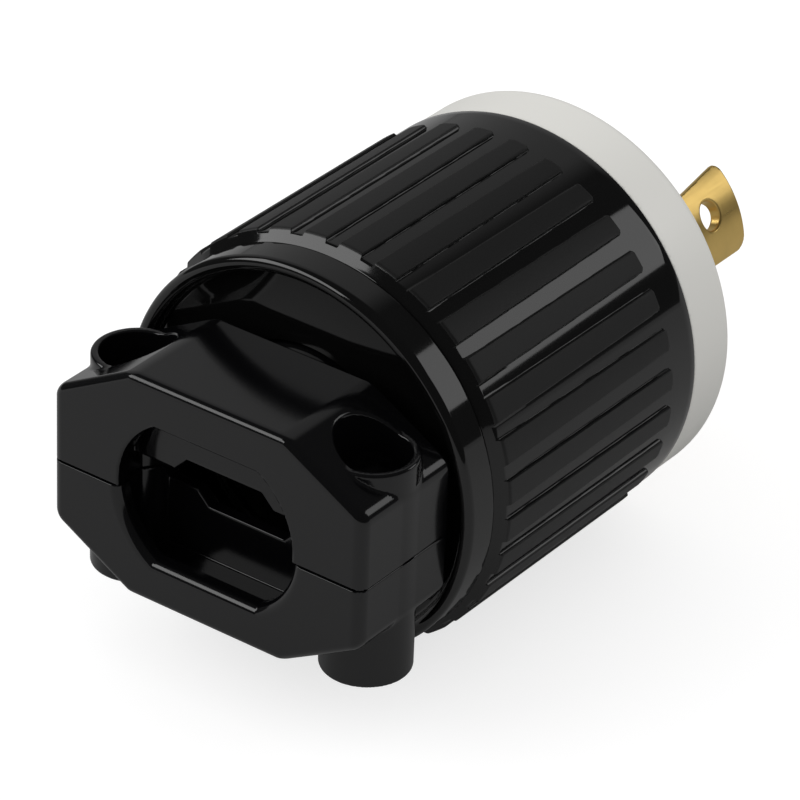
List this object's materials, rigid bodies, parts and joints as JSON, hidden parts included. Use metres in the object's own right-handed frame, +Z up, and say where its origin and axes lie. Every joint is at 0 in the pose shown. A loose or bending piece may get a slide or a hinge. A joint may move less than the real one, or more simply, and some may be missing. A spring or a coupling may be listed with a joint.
{
  "type": "three-wire locking power plug",
  "caption": "Three-wire locking power plug: ribbed barrel, white face with three curved blades, and an octagonal two-part cord clamp.",
  "frame": {"origin": "on the surface that the plug lies on, below the middle of its length", "axes": "+Y along the plug towards its blades, +Z up, +X across the cord clamp's width"},
  "size_m": [0.0584, 0.101, 0.0584],
  "materials": {
    "black_nylon": "glossy moulded black nylon with satin pads",
    "clamp_nylon": "semi-gloss moulded black nylon",
    "white_nylon": "satin moulded warm white nylon",
    "blade_brass": "satin stamped brass",
    "green_brass": "green coated screw",
    "zinc_steel": "zinc plated steel"
  },
  "bodies": {
    "root": {"housing": "black_nylon", "front_body": "white_nylon", "terminal_retainer": "white_nylon", "retainer_screw": "zinc_steel", "blade_line_1": "blade_brass", "blade_line_2": "blade_brass", "blade_ground": "blade_brass", "plate_line_1": "blade_brass", "plate_line_2": "blade_brass", "plate_ground": "blade_brass", "terminal_screw_line_1": "blade_brass", "terminal_screw_line_2": "blade_brass", "terminal_screw_ground": "green_brass", "assembly_screw_1": "zinc_steel", "assembly_screw_2": "zinc_steel", "assembly_screw_3": "zinc_steel", "cord_clamp_upper": "clamp_nylon", "cord_clamp_lower": "clamp_nylon", "clamp_screw_left": "zinc_steel", "clamp_screw_right": "zinc_steel", "clamp_nut_left": "zinc_steel", "clamp_nut_right": "zinc_steel"}
  },
  "joints": []
}
